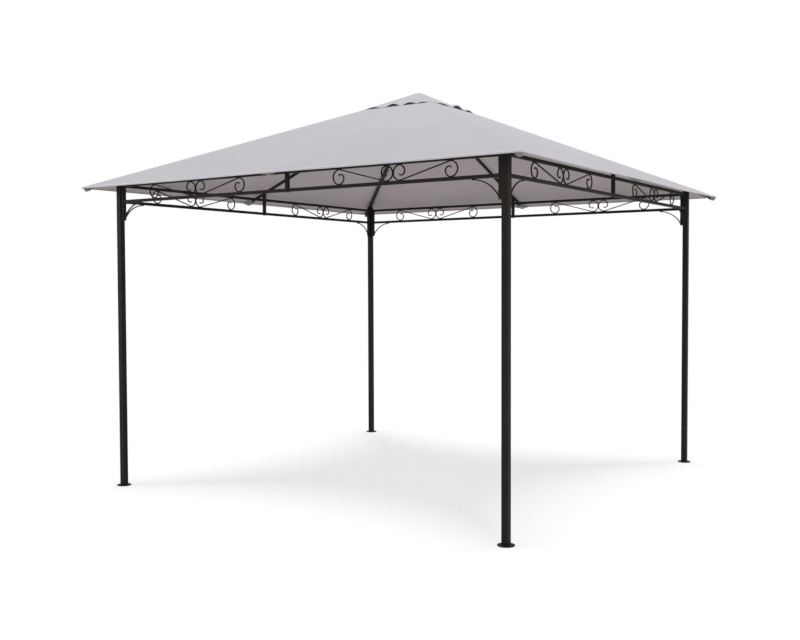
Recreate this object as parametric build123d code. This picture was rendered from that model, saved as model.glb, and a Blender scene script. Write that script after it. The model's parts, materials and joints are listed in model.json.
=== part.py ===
from build123d import *
import math
import os

# Overall sizes, in millimetres, and the slope of the roof's faces in degrees
post_spacing = 2700
eave_overhang = 162
low_rail_height = 1779
rail_spacing = 100
roof_pitch = 22.9

# Posts and feet
post_size = 35
post_wall = 1
tube_corner = 1
foot_diameter = 86
foot_thickness = 5
foot_spigot_height = 25
spigot_clearance = 0.3
foot_hole_diameter = 8
foot_hole_count = 2

# Side frames: the mid upright stands above the top rail, the end uprights reach below the braces
rail_size = 18
rail_wall = 0.8
upright_size = 20
upright_wall = 0.8
upright_head = 29
upright_tail = 10

# Scrolls between the rails, and how much each bar sinks into what it is welded to
scroll_bar = 6
scroll_centre_from_post = 650
scroll_reach = 344
weld_bite = 1
curl_radius_shares = (1, 0.8, 0.55, 0.35)
curl_sweeps = (180, 90, 90, 60)
curl_cuts = (12, 5, 4, 3)

# Corner braces
brace_bar = 6
brace_run = 150
brace_drop = 90
brace_cuts = 8

# Roof frame: the hip rafters end a little short of the canopy's corners
hip_size = 20
hip_end_gap = 12
side_rafter_size = 16
rafter_wall = 0.8
hub_width = 90
hub_sides = 8
hub_wall = 4
hub_overlap = 2
support_side = 50

# Canopy cloth
cloth = 3
cloth_gap = 0.3
hem_drop = 6
vent_side = 380
cap_side = 526
cap_flat = 36
cap_lift = 7
scallop_count = 4
scallop_rise = 24
scallop_tack = 16
scallop_corner = 26
scallop_cuts = 8
corner_pocket_length = 48
side_pocket_length = 40

quarter = 90
eighth = 45
corner_names = ("front_right", "back_right", "back_left", "front_left")
side_names = ("front", "right", "back", "left")

# Plan and heights of the frame
half = post_spacing / 2
eave_reach = half + eave_overhang
high_rail_height = low_rail_height + rail_spacing
high_rail_top = high_rail_height + rail_size / 2
brace_top = low_rail_height - rail_size / 2 - brace_bar / 2
foot_hole_circle = (foot_diameter + post_size * math.sqrt(2)) / 2

# Roof slopes: rise for each millimetre of reach, along the faces and along the hips
face_rise = math.tan(math.radians(roof_pitch))
hip_rise = face_rise / math.sqrt(2)
hip_pitch = math.degrees(math.atan(hip_rise))
face_cos = math.cos(math.radians(roof_pitch))
hip_cos = math.cos(math.radians(hip_pitch))

# Heights over the centre of the plan, from the mid uprights' heads up to the vent cap
side_low_peak = high_rail_top + upright_head + face_rise * half
side_top_peak = side_low_peak + side_rafter_size / face_cos
cloth_under_peak = side_top_peak + cloth_gap / face_cos
cloth_upright = cloth / face_cos
canopy_peak = cloth_under_peak + cloth_upright
hip_top_peak = side_top_peak - hip_rise * hip_size / 2
hip_low_peak = hip_top_peak - hip_size / hip_cos
cap_top = canopy_peak + cap_lift
cap_reach = cap_side / 2
cap_seat = canopy_peak - face_rise * cap_reach + cloth_gap / face_cos
cap_rise = (cap_top - cloth_upright - cap_seat) / (cap_reach - cap_flat / 2)
cap_peak = cap_top + cap_rise * cap_flat / 2
hub_top = hip_top_peak - hip_rise * hub_width / 2 + hub_overlap

# Lengths of the rafters along their slopes
hip_length = eave_reach * math.sqrt(2) / hip_cos - hip_end_gap
side_length = (eave_reach - cloth - cloth_gap) / face_cos - cloth - cloth_gap


def turned(shape, quarters):
    return Rot(0, 0, quarters * quarter) * shape


def tube_outline(size):
    square = Rectangle(size, size)
    return chamfer(square.vertices(), tube_corner)


def square_tube(size, wall, length):
    hollow = Rectangle(size - 2 * wall, size - 2 * wall)
    return extrude(tube_outline(size) - hollow, amount=length)


def plugged_tube(size, wall, length):
    plug = extrude(tube_outline(size), amount=wall)
    return plug + square_tube(size, wall, length)


def level_tube(size, wall, start, end):
    return Pos(start, 0, 0) * Rot(0, quarter, 0) * square_tube(size, wall, end - start)


# A round plate with peg holes and a square spigot that the post slides over
def foot():
    plate = extrude(Circle(foot_diameter / 2), amount=foot_thickness)
    spigot_side = post_size - 2 * post_wall - 2 * spigot_clearance
    spigot = extrude(Rectangle(spigot_side, spigot_side), amount=foot_thickness + foot_spigot_height)
    hole = extrude(Circle(foot_hole_diameter / 2), amount=foot_thickness)
    holes = PolarLocations(foot_hole_circle / 2, foot_hole_count)
    body = plate + spigot - [place * hole for place in holes]
    return Pos(half, -half, 0) * body


# The post's head is cut to the slope of the hip rafter that lies on it
def post():
    tall = square_tube(post_size, post_wall, side_low_peak - foot_thickness)
    tall = Pos(half, -half, foot_thickness) * tall
    slope = Plane(origin=(0, 0, hip_low_peak), z_dir=(face_rise / 2, -face_rise / 2, 1))
    return split(tall, bisect_by=slope, keep=Keep.BOTTOM)


def end_uprights():
    low = brace_top - brace_drop - upright_tail
    inset = half - post_size / 2 - upright_size / 2
    upright = Pos(0, 0, low) * plugged_tube(upright_size, upright_wall, high_rail_top - low)
    return [Pos(inset, -half, 0) * upright, Pos(half, -inset, 0) * upright]


def on_circle(centre, radius, angle):
    turn = math.radians(angle)
    return (centre[0] + radius * math.cos(turn), centre[1] + radius * math.sin(turn))


# A flat bar between two rows of points, in the XZ plane and centred on it
def flat_bar(one_side, other_side, width):
    outline = Polygon(*one_side, *reversed(other_side), align=None)
    return extrude(Plane.XZ * outline, amount=width / 2, both=True)


# An arc that leaves the low rail flat and meets the end upright lower down
def brace():
    radius = (brace_run ** 2 + brace_drop ** 2) / (2 * brace_drop)
    sweep = math.degrees(math.asin((brace_run + brace_bar) / radius))
    angles = [quarter - sweep * cut / brace_cuts for cut in range(brace_cuts + 1)]
    rows = [[on_circle((0, -radius), radius + side * brace_bar / 2, angle) for angle in angles] for side in (1, -1)]
    bar = flat_bar(rows[0], rows[1], brace_bar)
    return split(bar, bisect_by=Plane(origin=(brace_run, 0, 0), z_dir=(1, 0, 0)), keep=Keep.BOTTOM)


def braces():
    face = half - post_size / 2 - upright_size
    front = Pos(face - brace_run, -half, brace_top) * brace()
    right = turned(mirror(front, about=Plane.YZ), 1)
    return [front, right]


# One edge of a scroll's end, from the slant inward: arcs that tighten and run on without a kink
def curl(centre, radius, start, slant, offset):
    points = [on_circle(centre, radius + offset, start)]
    angle = start
    for index, share in enumerate(curl_radius_shares):
        if index:
            centre = on_circle(centre, radius * (curl_radius_shares[index - 1] - share), angle)
        sweep = curl_sweeps[index]
        if index == 0:
            sweep = sweep + slant
        for cut in range(curl_cuts[index]):
            turn = angle - sweep * (cut + 1) / curl_cuts[index]
            points.append(on_circle(centre, radius * share + offset, turn))
        angle = angle - sweep
    return points


# A bar with a curl at each end and a straight slant between them
def scroll():
    radius = (rail_spacing - rail_size - scroll_bar) / 2 + weld_bite
    near = (radius + scroll_bar / 2 - weld_bite, 0)
    far = (scroll_reach, 0)
    slant = math.degrees(math.asin(2 * radius / (far[0] - near[0])))
    edge = scroll_bar / 2
    near_rows = [curl(near, radius, slant - quarter, slant, side * edge) for side in (1, -1)]
    far_rows = [curl(far, radius, slant + quarter, slant, side * edge) for side in (-1, 1)]
    rows = [near_rows[side][::-1] + far_rows[side] for side in range(2)]
    return flat_bar(rows[0], rows[1], scroll_bar)


def half_panel():
    start = upright_size / 2
    end = half - post_size / 2 - upright_size
    rail = level_tube(rail_size, rail_wall, start, end)
    bar = scroll()
    pair = bar + mirror(bar, about=Plane.YZ)
    pair = Pos(half - scroll_centre_from_post, 0, low_rail_height + rail_spacing / 2) * pair
    panel = pair + Pos(0, 0, high_rail_height) * rail + Pos(0, 0, low_rail_height) * rail
    return Pos(0, -half, 0) * panel


# The upright at the middle of a side, cut to the slope of the rafter that lies on it
def mid_upright():
    low = low_rail_height - rail_size / 2
    tall = Pos(0, -half, low) * plugged_tube(upright_size, upright_wall, side_low_peak - low)
    slope = Plane(origin=(0, 0, side_low_peak), z_dir=(0, -face_rise, 1))
    return split(tall, bisect_by=slope, keep=Keep.BOTTOM)


# A tube whose top runs down along +X from the peak height, cut plumb at the hub
def rafter(size, pitch, length, peak):
    tube = Pos(0, 0, -size / 2) * level_tube(size, rafter_wall, 0, length)
    tube = Pos(0, 0, peak) * Rot(0, pitch, 0) * tube
    return split(tube, bisect_by=Plane(origin=(hub_width / 2, 0, 0), z_dir=(1, 0, 0)), keep=Keep.TOP)


def hip_rafter():
    return Rot(0, 0, -eighth) * rafter(hip_size, hip_pitch, hip_length, hip_top_peak)


def side_rafter():
    return Rot(0, 0, -quarter) * rafter(side_rafter_size, roof_pitch, side_length, side_top_peak)


# A trough of cloth round a rafter's end, open to the canopy above it
def pocket(size, length, tube_length, top_drop):
    outer_width = size + 2 * (cloth + cloth_gap)
    depth = size + cloth + cloth_gap
    end = tube_length + cloth_gap + cloth
    flush = (Align.MAX, Align.CENTER, Align.MAX)
    shell = Pos(end, 0, -top_drop) * Box(length, outer_width, depth - top_drop, align=flush)
    room = Box(length, size + 2 * cloth_gap, size + cloth_gap, align=flush)
    return shell - Pos(end - cloth, 0, 0) * room


def corner_pocket():
    top_drop = (cloth + cloth_gap) * hip_rise * hip_cos
    trough = pocket(hip_size, corner_pocket_length, hip_length, top_drop)
    return Rot(0, 0, -eighth) * Pos(0, 0, hip_top_peak) * Rot(0, hip_pitch, 0) * trough


def side_pocket():
    trough = pocket(side_rafter_size, side_pocket_length, side_length, 0)
    return Rot(0, 0, -quarter) * Pos(0, 0, side_top_peak) * Rot(0, roof_pitch, 0) * trough


def hub_prism(across, height):
    shape = RegularPolygon(across / 2, hub_sides, major_radius=False, rotation=eighth / 2)
    return extrude(shape, amount=height)


# A shell with one flat for each rafter, open below
def roof_hub():
    side_low = side_low_peak - face_rise * hub_width / 2
    hip_low = hip_low_peak - hip_rise * hub_width / 2
    low = min(side_low, hip_low) - hub_overlap
    tall = hub_top - low
    block = hub_prism(hub_width, tall) - hub_prism(hub_width - 2 * hub_wall, tall - hub_wall)
    return Pos(0, 0, low) * block


# A block on the hub, flat on top with sides sloped like the vent cap that rests on it
def cap_support():
    below = cloth_upright + cloth_gap / face_cos
    tall = cap_top - below - hub_top
    block = Pos(0, 0, hub_top) * extrude(Rectangle(support_side, support_side), amount=tall)
    for lean in ((1, 0), (0, 1), (-1, 0), (0, -1)):
        slope = Plane(origin=(0, 0, cap_peak - below), z_dir=(lean[0] * cap_rise, lean[1] * cap_rise, 1))
        block = split(block, bisect_by=slope, keep=Keep.BOTTOM)
    return block


# A sloped sheet over one side, cut on the two hips
def sloped_sheet(inner, outer, peak, rise):
    profile = Polygon(
        (-inner, peak - rise * inner),
        (-outer, peak - rise * outer),
        (-outer, peak - rise * outer - cloth_upright),
        (-inner, peak - rise * inner - cloth_upright),
        align=None,
    )
    sheet = extrude(Plane.YZ * profile, amount=outer, both=True)
    for lean in (1, -1):
        sheet = split(sheet, bisect_by=Plane(origin=(0, 0, 0), z_dir=(lean, 1, 0)), keep=Keep.BOTTOM)
    return sheet


def canopy_face():
    sheet = sloped_sheet(vent_side / 2, eave_reach, canopy_peak, face_rise)
    pocket_width = hip_size + 2 * (cloth + cloth_gap)
    hem_half = eave_reach - pocket_width / math.sqrt(2) - cloth
    hem = Box(2 * hem_half, cloth, hem_drop - cloth / 2, align=(Align.CENTER, Align.MIN, Align.MIN))
    hem_low = canopy_peak - face_rise * eave_reach - hem_drop
    return sheet + Pos(0, -eave_reach, hem_low) * hem


# The gap under one lifted stretch of the vent cap's edge
def scallop(wide):
    low = cap_seat - cloth
    tall = scallop_rise + cloth
    steps = [cut / scallop_cuts for cut in range(scallop_cuts + 1)]
    arch = [(wide * (1 / 2 - step), low + tall * math.sin(math.pi * step)) for step in steps]
    depth = scallop_rise / cap_rise + cloth
    return Pos(0, depth - cap_reach, 0) * extrude(Plane.XZ * Polygon(*arch, align=None), amount=depth + cloth)


# A small flat-topped pyramid over the vent, its edge lifted in arches between the tacks
def vent_cap():
    lid = Pos(0, 0, cap_top) * Box(cap_flat, cap_flat, cloth_upright, align=(Align.CENTER, Align.CENTER, Align.MAX))
    face = sloped_sheet(cap_flat / 2, cap_reach, cap_peak, cap_rise)
    spacing = (cap_side - 2 * scallop_corner + scallop_tack) / scallop_count
    cutter = scallop(spacing - scallop_tack)
    first = -spacing * (scallop_count - 1) / 2
    for index in range(scallop_count):
        face = face - Pos(first + index * spacing, 0, 0) * cutter
    faces = [turned(face, side) for side in range(len(side_names))]
    return lid + faces[0] + faces[1] + faces[2] + faces[3]


def write(shape, name):
    export_step(shape, "parts/" + name + ".step")


def write_group(shapes, name):
    write(Compound(children=shapes), name)


def write_corners():
    for index, name in enumerate(corner_names):
        write(turned(post(), index), "post_" + name)
        write(turned(foot(), index), "foot_" + name)
        write(turned(hip_rafter(), index), "hip_rafter_" + name)
        write_group([turned(upright, index) for upright in end_uprights()], "end_uprights_" + name)
        write_group([turned(bar, index) for bar in braces()], "corner_braces_" + name)


def write_sides():
    panel = half_panel()
    far_panel = mirror(panel, about=Plane.YZ)
    names = (("right", "left"), ("back", "front"), ("left", "right"), ("front", "back"))
    for index, name in enumerate(side_names):
        near, far = names[index]
        write(turned(panel, index), name + "_panel_" + near)
        write(turned(far_panel, index), name + "_panel_" + far)
        write(turned(mid_upright(), index), "mid_upright_" + name)
        write(turned(side_rafter(), index), "side_rafter_" + name)
        write(turned(canopy_face(), index), "canopy_" + name)


def write_roof():
    write(roof_hub(), "roof_hub")
    write(cap_support(), "cap_support")
    write(vent_cap(), "vent_cap")
    sides = range(len(side_names))
    write_group([turned(corner_pocket(), index) for index in sides], "corner_pockets")
    write_group([turned(side_pocket(), index) for index in sides], "side_pockets")


os.makedirs("parts", exist_ok=True)
write_corners()
write_sides()
write_roof()
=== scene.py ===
import json
import math

import bmesh
import bpy
from mathutils import Matrix, Vector, noise


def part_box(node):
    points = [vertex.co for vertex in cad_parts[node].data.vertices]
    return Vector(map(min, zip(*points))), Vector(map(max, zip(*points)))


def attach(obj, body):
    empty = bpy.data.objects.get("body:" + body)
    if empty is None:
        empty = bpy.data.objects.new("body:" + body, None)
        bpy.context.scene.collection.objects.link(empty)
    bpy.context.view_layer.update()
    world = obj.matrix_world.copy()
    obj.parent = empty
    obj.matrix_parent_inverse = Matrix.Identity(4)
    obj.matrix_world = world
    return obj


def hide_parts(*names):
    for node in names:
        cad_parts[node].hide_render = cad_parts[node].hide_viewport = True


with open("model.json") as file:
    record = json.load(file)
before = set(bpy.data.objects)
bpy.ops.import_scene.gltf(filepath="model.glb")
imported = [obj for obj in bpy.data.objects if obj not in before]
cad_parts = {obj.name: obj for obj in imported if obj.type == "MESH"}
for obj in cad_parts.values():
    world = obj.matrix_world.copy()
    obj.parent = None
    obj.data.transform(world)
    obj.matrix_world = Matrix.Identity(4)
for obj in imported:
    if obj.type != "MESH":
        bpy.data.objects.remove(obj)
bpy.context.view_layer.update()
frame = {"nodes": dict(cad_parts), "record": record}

# Camera, in metres and degrees, and the photograph's frame in pixels
camera_place = (3.5854, -5.6334, 1.2660)
camera_yaw = 33.590
camera_pitch = -2.096
camera_roll = 0.191
focal_pixels = 1005.6
frame_width = 800
sensor_width = 36

sides = ("front", "right", "back", "left")
side_count = len(sides)
quarter = math.pi / 2
root_two = math.sqrt(2)
up = Vector((0, 0, 1))

# Roof: the slope of its faces in degrees, and its main places read from the frame
roof_pitch = 22.9
rise = math.tan(math.radians(roof_pitch))
face_cos = math.cos(math.radians(roof_pitch))
hip_turn = math.atan(rise / root_two)
canopy_low, canopy_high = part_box("canopy_front")
cap_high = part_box("vent_cap")[1]
eave_reach = -canopy_low.y
vent_reach = -canopy_high.y

# Cloth sheet: thickness, how far it settles onto the rafters, and its grid
cloth = 0.0011
cloth_settle = 0.0021
canopy_peak = canopy_high.z + rise * vent_reach - cloth_settle
bay_columns = 60
bay_crowd_share = 0.84
roof_rows = 60

# Sag between the rafters, the round of the hips, ripples, and the pull of the eave between its corners
sag_depth = 0.011
sag_power = 1.5
sag_slack_share = 0.95
eave_tight = 0.28
hip_round = 0.0125
ripple_depth = 0.0016
ripple_length = 0.34
ripple_fine_count = 3
ripple_fine_share = 0.4
ripple_shift = Vector((7, 3, 1))
eave_bow = 0.012
bow_power = 8
tension_depth = 0.0018
tension_reach = 0.42
tension_folds = 7
tension_from = 0.018
tension_over = 0.06

# Faint creases on each face: shares across and of the reach out, turn in degrees and length in metres
crease_depth = 0.0011
crease_width = 0.011
crease_marks = (
    ((-0.36, 0.42, 24, 0.22), (-0.62, 0.61, 18, 0.30), (0.34, 0.66, -30, 0.26)),
    ((-0.42, 0.55, -22, 0.28), (0.30, 0.48, 30, 0.24), (0.58, 0.70, 12, 0.30)),
    ((-0.28, 0.60, 20, 0.26), (0.44, 0.52, -26, 0.30), (0.66, 0.74, 14, 0.20)),
    ((-0.55, 0.68, -16, 0.30), (-0.20, 0.45, 28, 0.22), (0.40, 0.58, -20, 0.28)),
)

# Hem band: pairs of offset outward and height over the cloth, over its outer face and then its inner face
hem_height = 0.0085
hem_lip = 0.0012
hem_outer_rows = 6
hem_profile = (
    (-0.0140, 0.0002),
    (-0.0130, 0.0009),
    (-0.0020, 0.0010),
    (0.0006, 0.0002),
    (0.0015, -0.0016),
    (0.0018, hem_lip - hem_height),
    (0.0011, -hem_height),
    (-0.0003, -hem_height),
    (-0.0010, hem_lip - hem_height),
    (-0.0015, -0.0036),
    (-0.0040, -0.0026),
    (-0.0130, -0.0022),
    (-0.0140, -0.0014),
)

# Binding round the vent opening
binding_profile = (
    (0.0120, 0.0002),
    (0.0110, 0.0008),
    (0.0010, 0.0008),
    (-0.0008, 0.0),
    (-0.0008, -0.0018),
    (0.0010, -0.0026),
    (0.0110, -0.0024),
    (0.0120, -0.0014),
)

# Hip seams: offsets from the ridge with heights over the cloth, and the stitches
seam_profile = (
    (-0.0125, -0.0003),
    (-0.0105, 0.0003),
    (-0.0070, 0.0005),
    (-0.0035, 0.0005),
    (0.0, 0.0005),
    (0.0035, 0.0005),
    (0.0070, 0.0005),
    (0.0105, 0.0003),
    (0.0125, -0.0003),
)
seam_rows = 90
seam_thick = 0.0006
seam_stitch_offset = 0.0085
stitch_pitch = 0.0075
stitch_share = 0.72
stitch_width = 0.0009
stitch_height = 0.0004
stitch_lift = 0.0006
hem_stitch_lift = 0.0011
hem_stitch_inset = 0.0095

# Vent cap: grid, rounding of its flat top, and its edge lifted between the tacks
cap_columns = 80
cap_rows = 30
cap_reach = cap_high.x
cap_flat = 0.018
cap_round = 0.0012
cap_settle = 0.0012
cap_clearance = 0.0004
cap_hip_soften = 0.0014
cap_hip_width = 0.009
cap_support_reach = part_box("cap_support")[1].x
cap_stitch_inset = 0.006
cap_stitch_lift = 0.0009
arch_rise = 0.024
arch_reach = 0.080
arch_power = 0.85
arch_fade_power = 1.6
arch_shares = (
    ((0.045, 0.25, 0.36), (0.34, 0.54, 0.64), (0.59, 0.78, 0.52), (0.78, 0.95, 0.26)),
    ((0.10, 0.40, 0.26), (0.49, 0.73, 0.90), (0.80, 0.98, 0.42)),
    ((0.06, 0.30, 0.7), (0.36, 0.52, 0.42), (0.58, 0.82, 0.9), (0.85, 0.96, 0.3)),
    ((0.05, 0.22, 0.5), (0.28, 0.50, 0.8), (0.56, 0.74, 0.35), (0.78, 0.95, 0.7)),
)
cap_band_profile = (
    (-0.0090, 0.0002),
    (-0.0080, 0.0007),
    (-0.0010, 0.0007),
    (0.0006, 0.0001),
    (0.0006, -0.0012),
    (-0.0010, -0.0018),
    (-0.0080, -0.0018),
    (-0.0090, -0.0012),
)

# Pockets: a sewn trough under each corner and a wide patch under each mid-side
pocket_half = 0.0125
pocket_depth = 0.0305
pocket_mouth = -0.051
pocket_mouth_low = -0.046
pocket_end = -0.0022
pocket_end_low = -0.0100
pocket_round_share = 0.24
pocket_narrow_share = 0.30
pocket_edge = 0.0006
pocket_pucker = 0.0009
pucker_waves = (4, 3, 5)
pocket_rows = 24
pocket_shares = (
    (-1.20, 0.0),
    (-1.10, 0.18),
    (-1.06, 0.4),
    (-1.03, 0.62),
    (-0.97, 0.82),
    (-0.84, 0.94),
    (-0.60, 1.0),
    (-0.25, 1.03),
    (0.25, 1.03),
    (0.60, 1.0),
    (0.84, 0.94),
    (0.97, 0.82),
    (1.03, 0.62),
    (1.06, 0.4),
    (1.10, 0.18),
    (1.20, 0.0),
)
patch_width = 0.104
patch_inner_width = 0.076
patch_length = 0.056
patch_flap = 0.0045
patch_trough = 0.0200
patch_trough_half = 0.0105
patch_trough_fade = 0.017
patch_edge_share = 0.8
patch_back = 0.003
patch_tuck = 0.002
patch_tuck_drop = 0.006
patch_columns = 48
patch_rows = 20

# Frame places read from the model, and the sizes of its tubes
post_low, post_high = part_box("post_front_right")
panel_low, panel_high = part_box("front_panel_right")
end_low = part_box("end_uprights_front_right")[0]
mid_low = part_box("mid_upright_front")[0]
brace_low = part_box("corner_braces_front_right")[0]
post_axis = (post_low.x + post_high.x) / 2
post_half = (post_high.x - post_low.x) / 2
rail_size = 0.018
upright_size = 0.020
scroll_bar = 0.006
scroll_middle = 0.700
scroll_reach = 0.344
curl_reach = 0.041

# Fasteners, plugs and welds
washer_radius = 0.0068
washer_thick = 0.0012
washer_shares = ((1, 0), (1, 0.7), (0.95, 1))
washer_sides = 20
bolt_radius = 0.0050
bolt_height = 0.0042
bolt_chamfer = 0.0008
bolt_sides = 6
screw_radius = 0.0036
screw_height = 0.0018
screw_rings = 5
screw_sides = 16
bolt_below_rail = 0.014
bolt_above_end = 0.036
brace_end = 0.010
screw_height_on_post = 0.019
plug_radius = 0.0035
plug_drop = 0.0026
plug_steps = 4
plug_shares = ((0, 0), (0, 0.6), (0.3, 0.9), (0.95, 1))
weld_width = 0.0021
weld_length = 0.0042
weld_rings = 6
weld_sides = 8

# Materials: the round of the steel's edges, depths of grain, weave and crumple, and where two tones meet
steel_edge = 0.0012
grain_depth = 0.0003
weave_depth = 0.0004
weave_scale = 260
crumple_depth = 0.004
tone_shares = (0.3, 0.7)
cloth_tone_shares = (0.25, 0.75)

# Floor: its size and colour, the star of its painted shadow, inside which its real soft shadow also shows,
# and how white it shows from the middle out
floor_size = 80
floor_colour = (0.86, 0.86, 0.855, 1)
floor_star_power = 0.6
floor_star_end = 1.33
floor_foot_end = 1.04
floor_foot_power = 12
floor_white_shares = ((0, 0.70), (0.6, 0.69), (0.74, 0.77), (0.86, 0.88), (1, 1))

# Light: the level all round, and softboxes with place, aim and size in metres, and power in watts
ambient = 0.46
softboxes = (
    ("top_softbox", (1.8, 1.2, 12), (0, 0, 2), 4.5, 545),
    ("left_softbox", (-6, -6, 3), (0, 0, 1.6), 3, 125),
    ("right_softbox", (9, -4, 4), (0, 0, 1.6), 3, 80),
)


def turned(point, side):
    return Matrix.Rotation(side * quarter, 3, "Z") @ point


def smooth(value):
    value = min(max(value, 0), 1)
    return value * value * (3 - 2 * value)


def bell(value):
    return math.exp(-value * value)


def link(name, data):
    piece = bpy.data.objects.new(name, data)
    bpy.context.scene.collection.objects.link(piece)
    return piece


# Make the faces of closed forms look outward
def face_outward(mesh):
    form = bmesh.new()
    form.from_mesh(mesh)
    bmesh.ops.recalc_face_normals(form, faces=form.faces)
    form.to_mesh(mesh)
    form.free()


def new_piece(name, shape, materials, closed=False, soft=True):
    mesh = bpy.data.meshes.new(name)
    mesh.from_pydata(shape[0], [], shape[1])
    mesh.validate()
    if closed:
        face_outward(mesh)
    mesh.polygons.foreach_set("use_smooth", [soft] * len(mesh.polygons))
    for material in materials:
        mesh.materials.append(material)
    piece = link(name, mesh)
    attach(piece, "root")
    return piece


def merged(shapes):
    points, faces = [], []
    for part_points, part_faces in shapes:
        start = len(points)
        points += part_points
        faces += [tuple(start + index for index in face) for face in part_faces]
    return points, faces


def moved(shape, matrix):
    return [matrix @ Vector(point) for point in shape[0]], shape[1]


# A place with its own upward direction
def aimed(place, direction):
    turn = Vector(direction).to_track_quat("Z", "Y").to_matrix().to_4x4()
    return Matrix.Translation(place) @ turn


def grid_faces(rows, columns, ring=False, loop=False):
    faces = []
    for row in range(rows if loop else rows - 1):
        low, high = row * columns, (row + 1) % rows * columns
        for column in range(columns if ring else columns - 1):
            after = (column + 1) % columns
            faces.append((low + column, high + column, high + after, low + after))
    return faces


# Faces over a stack of rings of points, flat at both ends
def stack_faces(rings, count):
    last = (rings - 1) * count
    ends = [tuple(range(count)), tuple(range(last, last + count))]
    return grid_faces(rings, count, ring=True) + ends


# A turned form from pairs of radius and height
def lathe(profile, count):
    points = []
    for radius, height in profile:
        for index in range(count):
            angle = 2 * math.pi * index / count
            points.append(Vector((radius * math.cos(angle), radius * math.sin(angle), height)))
    return points, stack_faces(len(profile), count)


# Materials

def node_material(name):
    material = bpy.data.materials.new(name)
    material.use_nodes = True
    tree = material.node_tree
    return material, tree, tree.nodes["Principled BSDF"]


def add_node(tree, kind, **values):
    node = tree.nodes.new("ShaderNode" + kind)
    for key, value in values.items():
        setattr(node, key, value)
    return node


def object_place(tree):
    return add_node(tree, "TexCoord").outputs["Object"]


# Two values, each a number or a socket, put together
def math_node(tree, operation, first, second):
    node = add_node(tree, "Math", operation=operation)
    for socket, value in zip(node.inputs, (first, second)):
        if isinstance(value, (int, float)):
            socket.default_value = value
        else:
            tree.links.new(value, socket)
    return node.outputs[0]


def noise_value(tree, source, scale, detail=3):
    node = add_node(tree, "TexNoise")
    node.inputs["Scale"].default_value = scale
    node.inputs["Detail"].default_value = detail
    tree.links.new(source, node.inputs["Vector"])
    return node.outputs["Fac"]


def ramp(tree, source, stops):
    node = add_node(tree, "ValToRGB")
    elements = node.color_ramp.elements
    for place, colour in stops[1:-1]:
        elements.new(place)
    for element, (place, colour) in zip(elements, stops):
        element.position = place
        element.color = (*colour, 1)
    tree.links.new(source, node.inputs["Fac"])
    return node.outputs["Color"]


def remap(tree, source, low, high):
    node = add_node(tree, "MapRange")
    node.inputs["To Min"].default_value = low
    node.inputs["To Max"].default_value = high
    tree.links.new(source, node.inputs["Value"])
    return node.outputs["Result"]


def bumped(tree, shader, height, distance, strength, base=None):
    node = add_node(tree, "Bump")
    node.inputs["Distance"].default_value = distance
    node.inputs["Strength"].default_value = strength
    tree.links.new(height, node.inputs["Height"])
    if base is not None:
        tree.links.new(base, node.inputs["Normal"])
    tree.links.new(node.outputs["Normal"], shader.inputs["Normal"])
    return node.outputs["Normal"]


# A base colour that drifts between two tones
def add_tone(tree, shader, place, tones, shares, scale, detail=3):
    stops = list(zip(shares, tones))
    colour = ramp(tree, noise_value(tree, place, scale, detail), stops)
    tree.links.new(colour, shader.inputs["Base Color"])


# A gloss that drifts between two levels of roughness
def add_roughness(tree, shader, place, low, high, scale, detail=3):
    level = remap(tree, noise_value(tree, place, scale, detail), low, high)
    tree.links.new(level, shader.inputs["Roughness"])


# Satin powder coat with a fine grain, rounded edges and a slight change of gloss
def powder_coat(name, dark, light):
    material, tree, shader = node_material(name)
    place = object_place(tree)
    add_tone(tree, shader, place, (dark, light), tone_shares, scale=9, detail=6)
    add_roughness(tree, shader, place, low=0.46, high=0.6, scale=40, detail=4)
    shader.inputs["Specular IOR Level"].default_value = 0.06
    bevel = add_node(tree, "Bevel", samples=6)
    bevel.inputs["Radius"].default_value = steel_edge
    grain = noise_value(tree, place, scale=900, detail=2)
    bumped(tree, shader, grain, grain_depth, strength=0.1, base=bevel.outputs["Normal"])
    return material


# Moulded plastic with a fine grain
def plastic(name, dark, light):
    material, tree, shader = node_material(name)
    place = object_place(tree)
    add_tone(tree, shader, place, (dark, light), tone_shares, scale=60)
    add_roughness(tree, shader, place, low=0.5, high=0.65, scale=200)
    shader.inputs["Specular IOR Level"].default_value = 0.3
    bumped(tree, shader, noise_value(tree, place, scale=1500), grain_depth, strength=0.2)
    return material


# Plated metal with a fine spangle
def galvanised(name, dark, light):
    material, tree, shader = node_material(name)
    place = object_place(tree)
    add_tone(tree, shader, place, (dark, light), tone_shares, scale=500)
    add_roughness(tree, shader, place, low=0.3, high=0.5, scale=900)
    shader.inputs["Metallic"].default_value = 1
    return material


def wave(tree, place, direction, scale):
    node = add_node(tree, "TexWave", bands_direction=direction)
    node.inputs["Scale"].default_value = scale
    tree.links.new(place, node.inputs["Vector"])
    return node.outputs["Fac"]


# Woven polyester: a fine plain weave, a soft mottle and a little sheen
def woven(name, dark, light, sheen):
    material, tree, shader = node_material(name)
    place = object_place(tree)
    add_tone(tree, shader, place, (dark, light), cloth_tone_shares, scale=2.3, detail=5)
    add_roughness(tree, shader, place, low=0.74, high=0.88, scale=30)
    shader.inputs["Specular IOR Level"].default_value = 0.25
    shader.inputs["Sheen Weight"].default_value = sheen
    shader.inputs["Sheen Roughness"].default_value = 0.5
    warp, weft = (wave(tree, place, direction, weave_scale) for direction in ("X", "Y"))
    weave = math_node(tree, "MULTIPLY", warp, weft)
    folds = noise_value(tree, place, scale=14, detail=6)
    crumple = bumped(tree, shader, folds, crumple_depth, strength=0.16)
    bumped(tree, shader, weave, weave_depth, strength=0.3, base=crumple)
    return material


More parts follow.
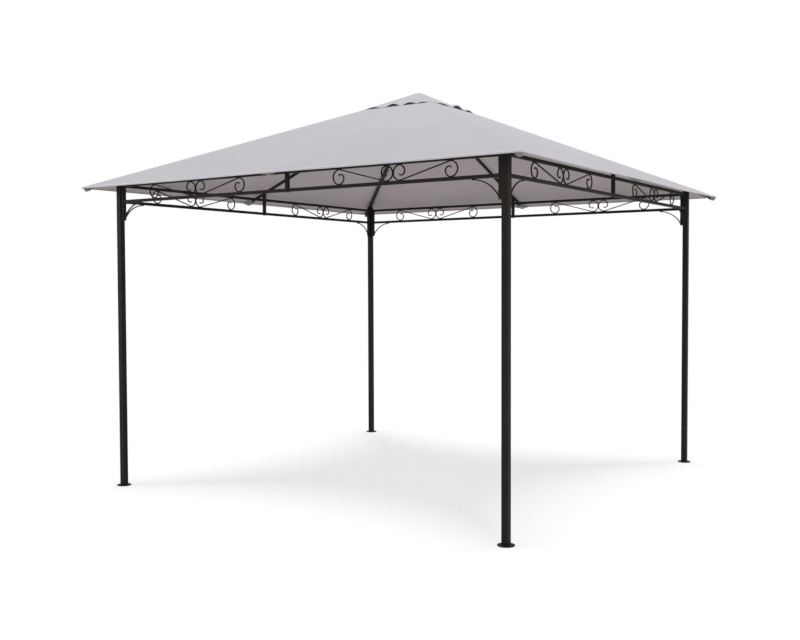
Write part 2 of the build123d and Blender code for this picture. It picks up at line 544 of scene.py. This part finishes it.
steel = powder_coat("powder_coat_steel", (0.0205, 0.0190, 0.0160), (0.0268, 0.0249, 0.0212))
black_plastic = plastic("black_plastic", (0.006, 0.006, 0.006), (0.011, 0.011, 0.011))
bolt_steel = galvanised("blackened_bolt", (0.02, 0.0195, 0.019), (0.045, 0.044, 0.043))
canopy_top = woven("canopy_cloth_top", (0.545, 0.532, 0.572), (0.585, 0.572, 0.612), 0.12)
# Painted shade: the underside is the same cloth as the top, given a darker, warmer colour for the shade under
# the roof
canopy_under_painted_shade = woven("canopy_cloth_under_painted_shade", (0.51, 0.454, 0.461), (0.55, 0.491, 0.498), 0.05)
# Painted light: the cap's underside is the same cloth, given a lighter colour so that the shade under its
# lifted edge reads lighter
cap_under_painted_light = woven("cap_cloth_under_painted_light", (0.60, 0.54, 0.545), (0.64, 0.58, 0.585), 0.05)
# Painted light: the hem is the same cloth as the top, given a lighter colour for the light that its outer
# face catches
hem_cloth_painted_light = woven("hem_cloth_painted_light", (0.66, 0.65, 0.68), (0.70, 0.69, 0.72), 0.12)
# Painted shade: the pockets are the same cloth as the canopy, given a dark grey for the shade they sit in
pocket_cloth_painted_shade = woven("pocket_cloth_painted_shade", (0.25, 0.24, 0.24), (0.29, 0.28, 0.28), 0.05)
thread = woven("seam_thread", (0.56, 0.55, 0.58), (0.62, 0.61, 0.64), 0.2)


slot_materials = {"frame_steel": steel, "dark_plastic": black_plastic, "canopy_cloth": canopy_top}


def dress_frame():
    for subpart in frame["record"]["subparts"]:
        piece = frame["nodes"][subpart["node"]]
        piece.data.materials.clear()
        piece.data.materials.append(slot_materials[subpart["material_slot"]])


# Canopy

# Places along a bay, closer together at the rafters on both its sides
def bay_places(count):
    steps = [index / count for index in range(count)]
    return [step - bay_crowd_share * math.sin(2 * math.pi * step) / (2 * math.pi) for step in steps]


def side_places(columns):
    half = bay_places(columns)
    return [place - 1 for place in half] + half


def between_rafters(across):
    return math.sin(math.pi * min(abs(across), 1)) ** 2


def roof_sag(across, out):
    slack = (out / eave_reach) ** sag_power
    tight = 1 - sag_slack_share * smooth((out - eave_reach + eave_tight) / eave_tight)
    return sag_depth * slack * tight * between_rafters(across)


def roof_ripple(place, across):
    broad = noise.noise(place / ripple_length)
    fine = noise.noise(place / (ripple_length / ripple_fine_count) + ripple_shift)
    return ripple_depth * between_rafters(across) * abs(broad + ripple_fine_share * fine)


# Folds that fan out from the corners, strongest near the eave
def tension_fold(across, out):
    along = (1 - abs(across)) * out
    back = eave_reach - out
    fade = bell(math.hypot(along, back) / tension_reach) * smooth((along - tension_from) / tension_over)
    angle = math.atan2(back, along + tension_from)
    return tension_depth * fade * (1 + math.sin(2 * tension_folds * angle)) / 2


def creases(side, across, out):
    depth = 0
    for at_across, at_out, turn, length in crease_marks[side]:
        middle = Vector((at_across * at_out * eave_reach, at_out * eave_reach))
        away = Vector((across * out, out)) - middle
        angle = math.radians(turn)
        along = away.x * math.cos(angle) + away.y * math.sin(angle)
        beside = away.y * math.cos(angle) - away.x * math.sin(angle)
        depth += crease_depth * bell(along / length * 2) * bell(beside / crease_width)
    return depth


# The cloth bends round the top of a hip rafter and lies clear of its edges
def hip_rounding(across, out):
    from_hip = out * (1 - abs(across)) / root_two
    share = max(0, 1 - from_hip / hip_round)
    return rise / root_two * hip_round * share * share / 2


def canopy_point(side, across, out):
    bow = eave_bow * between_rafters(across) * (out / eave_reach) ** bow_power
    drop = roof_sag(across, out) + hip_rounding(across, out)
    drop += tension_fold(across, out) + creases(side, across, out)
    point = turned(Vector((across * out, bow - out, 0)), side)
    point.z = canopy_peak - rise * out - drop - roof_ripple(point, across)
    return point


def thicken(piece, depth=cloth):
    solid = piece.modifiers.new("thickness", "SOLIDIFY")
    solid.thickness = depth
    solid.offset = -1
    solid.material_offset = 1
    solid.material_offset_rim = 0
    return piece


# Reaches from the vent opening out to the eave
def roof_reaches(rows):
    return [vent_reach + (eave_reach - vent_reach) * row / rows for row in range(rows + 1)]


def make_canopy():
    places = side_places(bay_columns)
    points = []
    for out in roof_reaches(roof_rows):
        points += [canopy_point(side, place, out) for side in range(side_count) for place in places]
    shape = points, grid_faces(roof_rows + 1, side_count * len(places), ring=True)
    piece = new_piece("canopy_sheet", shape, (canopy_top, canopy_under_painted_shade))
    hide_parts(*["canopy_" + side for side in sides])
    return thicken(piece)


# A closed band round a sheet's edge, facing out (1) or in (-1)
def edge_band(surface, places, reach, profile, facing):
    points = []
    for spread, lift in profile:
        kept = facing * min(facing * spread, 0)
        past = spread - kept
        for side in range(side_count):
            for place in places:
                spot = surface(side, place, reach + kept)
                points.append(spot + turned(Vector((place * past, -past, 0)), side) + lift * up)
    return points, grid_faces(len(profile), side_count * len(places), ring=True, loop=True)


# A spot beside a hip: the ridge's reach, the offset from the ridge and the height over the cloth
def hip_spot(corner, out, offset, lift):
    shift = abs(offset) / root_two
    wide = min(out + shift, eave_reach)
    across = (wide - 2 * shift) / wide
    if offset < 0:
        return canopy_point(corner, across, wide) + lift * up
    return canopy_point((corner + 1) % side_count, -across, wide) + lift * up


def hip_seam(corner):
    points = []
    for out in roof_reaches(seam_rows):
        points += [hip_spot(corner, out, offset, lift) for offset, lift in seam_profile]
    return points, grid_faces(seam_rows + 1, len(seam_profile))


# One stitch: a grain of thread lying on the cloth
def stitch(start, end):
    spare = (end - start) * (1 - stitch_share) / 2
    beside = (end - start).cross(up).normalized() * stitch_width / 2
    middle = (start + end) / 2
    points = [start + spare, end - spare, middle + beside, middle - beside]
    points += [middle + stitch_height * up, middle - stitch_height * up]
    faces = [(0, 2, 4), (2, 1, 4), (1, 3, 4), (3, 0, 4), (2, 0, 5), (1, 2, 5), (3, 1, 5), (0, 3, 5)]
    return points, faces


def stitch_line(spots):
    return [stitch(start, end) for start, end in zip(spots, spots[1:])]


def hip_stitches(corner, offset):
    first = cap_reach + stitch_pitch
    last = eave_reach - 2 * hem_stitch_inset
    count = int((last - first) * root_two / stitch_pitch)
    reaches = [first + (last - first) * step / count for step in range(count + 1)]
    return stitch_line([hip_spot(corner, reach, offset, stitch_lift) for reach in reaches])


def edge_stitches(surface, side, reach, lift):
    count = int(2 * reach / stitch_pitch)
    spots = [surface(side, 2 * step / count - 1, reach) + lift * up for step in range(count + 1)]
    return stitch_line(spots)


def make_canopy_trim():
    places = side_places(bay_columns)
    hem = edge_band(canopy_point, places, eave_reach, hem_profile, 1)
    binding = edge_band(canopy_point, places, vent_reach, binding_profile, -1)
    bands = merged([hem, binding])
    trim = new_piece("canopy_hem", bands, (hem_cloth_painted_light, canopy_under_painted_shade), closed=True)
    # The band's inner faces take the underside's colour, with its painted shade
    for face in list(trim.data.polygons)[hem_outer_rows * side_count * len(places):]:
        face.material_index = 1
    seam_shape = merged([hip_seam(corner) for corner in range(side_count)])
    seams = new_piece("hip_seams", seam_shape, (canopy_top, canopy_top))
    thicken(seams, seam_thick)
    stitches = []
    for corner in range(side_count):
        stitches += hip_stitches(corner, -seam_stitch_offset) + hip_stitches(corner, seam_stitch_offset)
        stitches += edge_stitches(canopy_point, corner, eave_reach - hem_stitch_inset, hem_stitch_lift)
    sewing = new_piece("canopy_stitches", merged(stitches), (thread,), closed=True)
    return [trim, seams, sewing]


# Vent cap

def arch_lift(side, across):
    share = (across + 1) / 2
    for start, end, height in arch_shares[side]:
        if start < share < end:
            return arch_rise * height * math.sin(math.pi * (share - start) / (end - start)) ** arch_power
    return 0


def cap_point(side, across, out):
    top = cap_high.z - cap_settle
    edge = canopy_peak - rise * cap_reach + (cloth + cap_clearance) / face_cos
    slope = (top - edge) / (cap_reach - cap_flat)
    past = out - cap_flat
    drop = slope * (past + math.hypot(past, cap_round)) / 2
    hip = bell(out * (1 - abs(across)) / root_two / cap_hip_width)
    drop += cap_hip_soften * hip * smooth((out - cap_support_reach) / cap_flat)
    fade = smooth((out - cap_reach + arch_reach) / arch_reach) ** arch_fade_power
    lift = arch_lift(side, across) * fade
    point = turned(Vector((across * out, -out, 0)), side)
    point.z = top - drop + lift
    return point


def cap_places():
    return [2 * index / cap_columns - 1 for index in range(cap_columns)]


def make_cap():
    places = cap_places()
    points = []
    for row in range(cap_rows):
        out = cap_reach * (row + 1) / cap_rows
        points += [cap_point(side, place, out) for side in range(side_count) for place in places]
    columns = side_count * len(places)
    faces = grid_faces(cap_rows, columns, ring=True)
    points.append(cap_point(0, 0, 0))
    faces += [(len(points) - 1, column, (column + 1) % columns) for column in range(columns)]
    piece = new_piece("vent_cap_sheet", (points, faces), (canopy_top, cap_under_painted_light))
    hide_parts("vent_cap")
    return thicken(piece)


def make_cap_trim():
    band = edge_band(cap_point, cap_places(), cap_reach, cap_band_profile, 1)
    trim = new_piece("vent_cap_hem", band, (canopy_top,), closed=True)
    stitches = []
    for side in range(side_count):
        stitches += edge_stitches(cap_point, side, cap_reach - cap_stitch_inset, cap_stitch_lift)
    sewing = new_piece("vent_cap_stitches", merged(stitches), (thread,), closed=True)
    return [trim, sewing]


# Pockets

# How full the pocket is along its length: its closed end is rounded
def pocket_fullness(share):
    end = max(0, (share - 1 + pocket_round_share) / pocket_round_share)
    return 1 - pocket_narrow_share * (1 - math.sqrt(1 - end * end))


# A trough sewn under a corner: its mouth is slanted, and its end narrows between the two hems
def corner_pocket(corner):
    along = turned(Vector((1, -1, 0)) / root_two * math.cos(hip_turn) - math.sin(hip_turn) * up, corner)
    beside = turned(Vector((1, 1, 0)) / root_two, corner)
    down = beside.cross(along)
    tip = canopy_point(corner, 1, eave_reach)
    fall = rise / root_two * math.cos(hip_turn)
    points = []
    for row in range(pocket_rows):
        share = row / (pocket_rows - 1)
        full = pocket_fullness(share)
        for wide, deep in pocket_shares:
            start = pocket_mouth + (pocket_mouth_low - pocket_mouth) * deep
            end = pocket_end + (pocket_end_low - pocket_end) * deep
            place = start + (end - start) * share
            limit = -place * math.cos(hip_turn) - pocket_edge
            offset = max(-limit, min(limit, wide * pocket_half * full))
            surface = abs(offset) * fall + cloth
            waves = [value * count for value, count in zip((share, wide, corner), pucker_waves)]
            pucker = pocket_pucker * deep * noise.noise(Vector(waves))
            depth = surface + (pocket_depth - surface) * deep * full + pucker
            points.append(tip + along * place + beside * offset + down * depth)
    columns = len(pocket_shares)
    faces = grid_faces(pocket_rows, columns)
    last = len(points) - columns
    faces.append(tuple(range(len(points) - 1, last - 1, -1)))
    return points, faces


def patch_wide(back):
    return patch_inner_width + (patch_width - patch_inner_width) * (1 - back / patch_length)


def patch_depth(place, back):
    edge = 2 * abs(place) / patch_wide(back)
    trough = patch_trough * (1 - smooth((abs(place) - patch_trough_half) / patch_trough_fade))
    near = smooth(1 - back / patch_length)
    flap = (hem_height + patch_flap) * near * (1 - smooth((edge - patch_edge_share) / (1 - patch_edge_share)))
    return max(cloth, trough, flap)


# A wide patch under a mid-side: it hangs below the hem and dips round the rafter's end
def side_patch(side):
    points = []
    for row in range(patch_rows + 1):
        back = patch_back + (patch_length - patch_back) * (1 - row / patch_rows)
        out = eave_reach - back
        for column in range(patch_columns + 1):
            place = patch_wide(back) * (column / patch_columns - 0.5)
            points.append(canopy_point(side, place / out, out) - (patch_depth(place, back) + cloth) * up)
    for column in range(patch_columns + 1):
        place = patch_width * (column / patch_columns - 0.5)
        spot = canopy_point(side, place / eave_reach, eave_reach)
        points.append(spot + turned(Vector((0, patch_tuck, 0)), side) - patch_tuck_drop * up)
    return points, grid_faces(patch_rows + 2, patch_columns + 1)


def make_pockets():
    both_faces = (pocket_cloth_painted_shade, pocket_cloth_painted_shade)
    corner_shape = merged([corner_pocket(corner) for corner in range(side_count)])
    corner_piece = new_piece("corner_pocket_sheets", corner_shape, both_faces)
    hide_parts("corner_pockets")
    side_shape = merged([side_patch(side) for side in range(side_count)])
    side_piece = new_piece("side_pocket_sheets", side_shape, both_faces)
    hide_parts("side_pockets")
    return [thicken(corner_piece), thicken(side_piece)]


# Fasteners, plugs and welds

def bolt():
    washer = [(washer_radius * wide, washer_thick * high) for wide, high in washer_shares]
    top = washer_thick + bolt_height
    head = ((bolt_radius, washer_thick), (bolt_radius, top - bolt_chamfer), (bolt_radius - bolt_chamfer, top))
    return merged([lathe(washer, washer_sides), lathe(head, bolt_sides)])


def screw():
    turns = [quarter * step / screw_rings for step in range(screw_rings)]
    profile = [(screw_radius * math.cos(turn), screw_height * math.sin(turn)) for turn in turns]
    return lathe(profile, screw_sides)


# Spots and directions on the front and right faces by the front right corner, repeated round the frame
def all_round(spots):
    places = []
    for side in range(side_count):
        places += [(turned(Vector(spot), side), turned(Vector(aim), side)) for spot, aim in spots]
    return places


def make_bolts():
    face = panel_high.x
    heights = (panel_high.z - rail_size - bolt_below_rail, end_low.z + bolt_above_end)
    spots = []
    for height in heights:
        spots.append(((face, -post_axis, height), (-1, 0, 0)))
        spots.append(((post_axis, -face, height), (0, 1, 0)))
    shape = merged([moved(bolt(), aimed(place, aim)) for place, aim in all_round(spots)])
    return new_piece("frame_bolts", shape, (bolt_steel,), closed=True, soft=False)


def make_screws():
    inner = upright_size / 2 - post_axis
    heights = (panel_low.z + rail_size / 2, panel_high.z - rail_size / 2)
    spots = [((0, inner, height), (0, 1, 0)) for height in heights]
    spots.append(((post_axis - post_half, -post_axis, screw_height_on_post), (-1, 0, 0)))
    spots.append(((post_axis, post_half - post_axis, screw_height_on_post), (0, 1, 0)))
    shape = merged([moved(screw(), aimed(place, aim)) for place, aim in all_round(spots)])
    return new_piece("frame_screws", shape, (bolt_steel,), closed=True)


# A square outline with rounded corners
def rounded_square(half, radius, height):
    points = []
    for corner in range(side_count):
        centre = turned(Vector((half - radius, half - radius, height)), corner)
        for step in range(plug_steps + 1):
            angle = quarter * (corner + step / plug_steps)
            points.append(centre + radius * Vector((math.cos(angle), math.sin(angle), 0)))
    return points


def plug():
    points = []
    for inset, low in plug_shares:
        points += rounded_square(upright_size / 2 - inset * plug_drop, plug_radius, -low * plug_drop)
    rings = len(plug_shares)
    return points, stack_faces(rings, len(points) // rings)


def make_plugs():
    inset = panel_high.x + upright_size / 2
    spots = [(inset, -post_axis, end_low.z), (post_axis, -inset, end_low.z), (0, -post_axis, mid_low.z)]
    shapes = []
    for side in range(side_count):
        shapes += [moved(plug(), Matrix.Translation(turned(Vector(spot), side))) for spot in spots]
    return new_piece("tube_plugs", merged(shapes), (black_plastic,), closed=True, soft=False)


# A small lump of weld, longest along the bar that it joins
def weld(place):
    turns = [math.pi * (step + 0.5) / weld_rings - quarter for step in range(weld_rings)]
    bead = lathe([(math.cos(turn), math.sin(turn)) for turn in turns], weld_sides)
    lump = Matrix.Diagonal((weld_length, weld_width, weld_width, 1))
    return moved(bead, Matrix.Translation(place) @ lump)


def panel_welds():
    middle = (panel_low.z + panel_high.z) / 2
    contact = (panel_high.z - panel_low.z) / 2 - rail_size
    spots = [(scroll_middle, middle)]
    for offset in (-scroll_reach, -curl_reach, curl_reach, scroll_reach):
        spots += [(scroll_middle + offset, middle + contact), (scroll_middle + offset, middle - contact)]
    spots.append((brace_low.x + weld_length, panel_low.z))
    spots.append((panel_high.x, end_low.z + brace_end))
    return spots


def make_welds():
    shapes = []
    for side in range(side_count):
        for mirror in (-1, 1):
            for place, height in panel_welds():
                for face in (-1, 1):
                    spot = Vector((mirror * place, face * scroll_bar / 2 - post_axis, height))
                    shapes.append(moved(weld(spot), Matrix.Rotation(side * quarter, 4, "Z")))
    return new_piece("scroll_welds", merged(shapes), (steel,), closed=True)


# Stage: floor, lights, world and camera

# Whether a ray comes from the camera, directly or by way of metal or glass
def ray_share(tree):
    path = add_node(tree, "LightPath")
    seen = path.outputs["Is Camera Ray"]
    for name in ("Is Glossy Ray", "Is Transmission Ray"):
        seen = math_node(tree, "MAXIMUM", seen, path.outputs[name])
    return seen


# A painted shadow: a star with its points at the feet, so that the shadow's sides curve in from foot to foot
def painted_shadow_star(tree):
    place = add_node(tree, "SeparateXYZ")
    tree.links.new(object_place(tree), place.inputs[0])
    parts, ends = [], []
    for operation in ("ADD", "SUBTRACT"):
        along = math_node(tree, operation, place.outputs["X"], place.outputs["Y"])
        span = math_node(tree, "DIVIDE", math_node(tree, "ABSOLUTE", along, 0), 2 * post_axis)
        parts.append(math_node(tree, "POWER", span, floor_star_power))
        past = math_node(tree, "DIVIDE", span, floor_foot_end)
        ends.append(math_node(tree, "POWER", past, floor_foot_power))
    star = math_node(tree, "DIVIDE", math_node(tree, "ADD", parts[0], parts[1]), floor_star_end)
    return math_node(tree, "MAXIMUM", star, math_node(tree, "MAXIMUM", ends[0], ends[1]))


def make_floor():
    half = floor_size / 2
    mesh = bpy.data.meshes.new("floor")
    outline = [(-half, -half, 0), (half, -half, 0), (half, half, 0), (-half, half, 0)]
    mesh.from_pydata(outline, [], [(0, 1, 2, 3)])
    floor = link("floor", mesh)
    material, tree, shader = node_material("pale_floor")
    shader.inputs["Base Color"].default_value = floor_colour
    shader.inputs["Roughness"].default_value = 0.9
    shader.inputs["Specular IOR Level"].default_value = 0
    white = add_node(tree, "Emission")
    # Painted shadow: inside the star less white is laid over the floor, which darkens it besides showing its
    # real shadow
    stops = [(place, (share, share, share)) for place, share in floor_white_shares]
    fade = ramp(tree, painted_shadow_star(tree), stops)
    mix = add_node(tree, "MixShader")
    tree.links.new(math_node(tree, "MULTIPLY", ray_share(tree), fade), mix.inputs[0])
    tree.links.new(shader.outputs[0], mix.inputs[1])
    tree.links.new(white.outputs[0], mix.inputs[2])
    tree.links.new(mix.outputs[0], tree.nodes["Material Output"].inputs["Surface"])
    mesh.materials.append(material)


def make_world():
    world = bpy.data.worlds.new("studio")
    bpy.context.scene.world = world
    world.use_nodes = True
    tree = world.node_tree
    level = remap(tree, ray_share(tree), ambient, 1)
    background = tree.nodes["Background"]
    background.inputs["Color"].default_value = (1, 1, 1, 1)
    tree.links.new(level, background.inputs["Strength"])


def make_light(name, place, target, size, energy):
    data = bpy.data.lights.new(name, "AREA")
    data.shape = "DISK"
    data.size = size
    data.energy = energy
    lamp = link(name, data)
    lamp.location = place
    lamp.rotation_euler = (Vector(target) - Vector(place)).to_track_quat("-Z", "Y").to_euler()


def make_camera():
    data = bpy.data.cameras.new("camera")
    data.sensor_width = sensor_width
    data.lens = focal_pixels / frame_width * sensor_width
    camera = link("camera", data)
    turn = Matrix.Rotation(math.radians(camera_yaw), 3, "Z")
    turn @= Matrix.Rotation(math.radians(camera_pitch) + quarter, 3, "X")
    turn @= Matrix.Rotation(-math.radians(camera_roll), 3, "Z")
    camera.location = camera_place
    camera.rotation_euler = turn.to_euler()
    bpy.context.scene.camera = camera


def make_stage():
    bpy.context.scene.view_settings.view_transform = "Standard"
    make_floor()
    make_world()
    for softbox in softboxes:
        make_light(*softbox)
    make_camera()


make_stage()
dress_frame()
canopy = make_canopy()
canopy_trim = make_canopy_trim()
cap = make_cap()
cap_trim = make_cap_trim()
pockets = make_pockets()
make_bolts()
make_screws()
make_plugs()
make_welds()
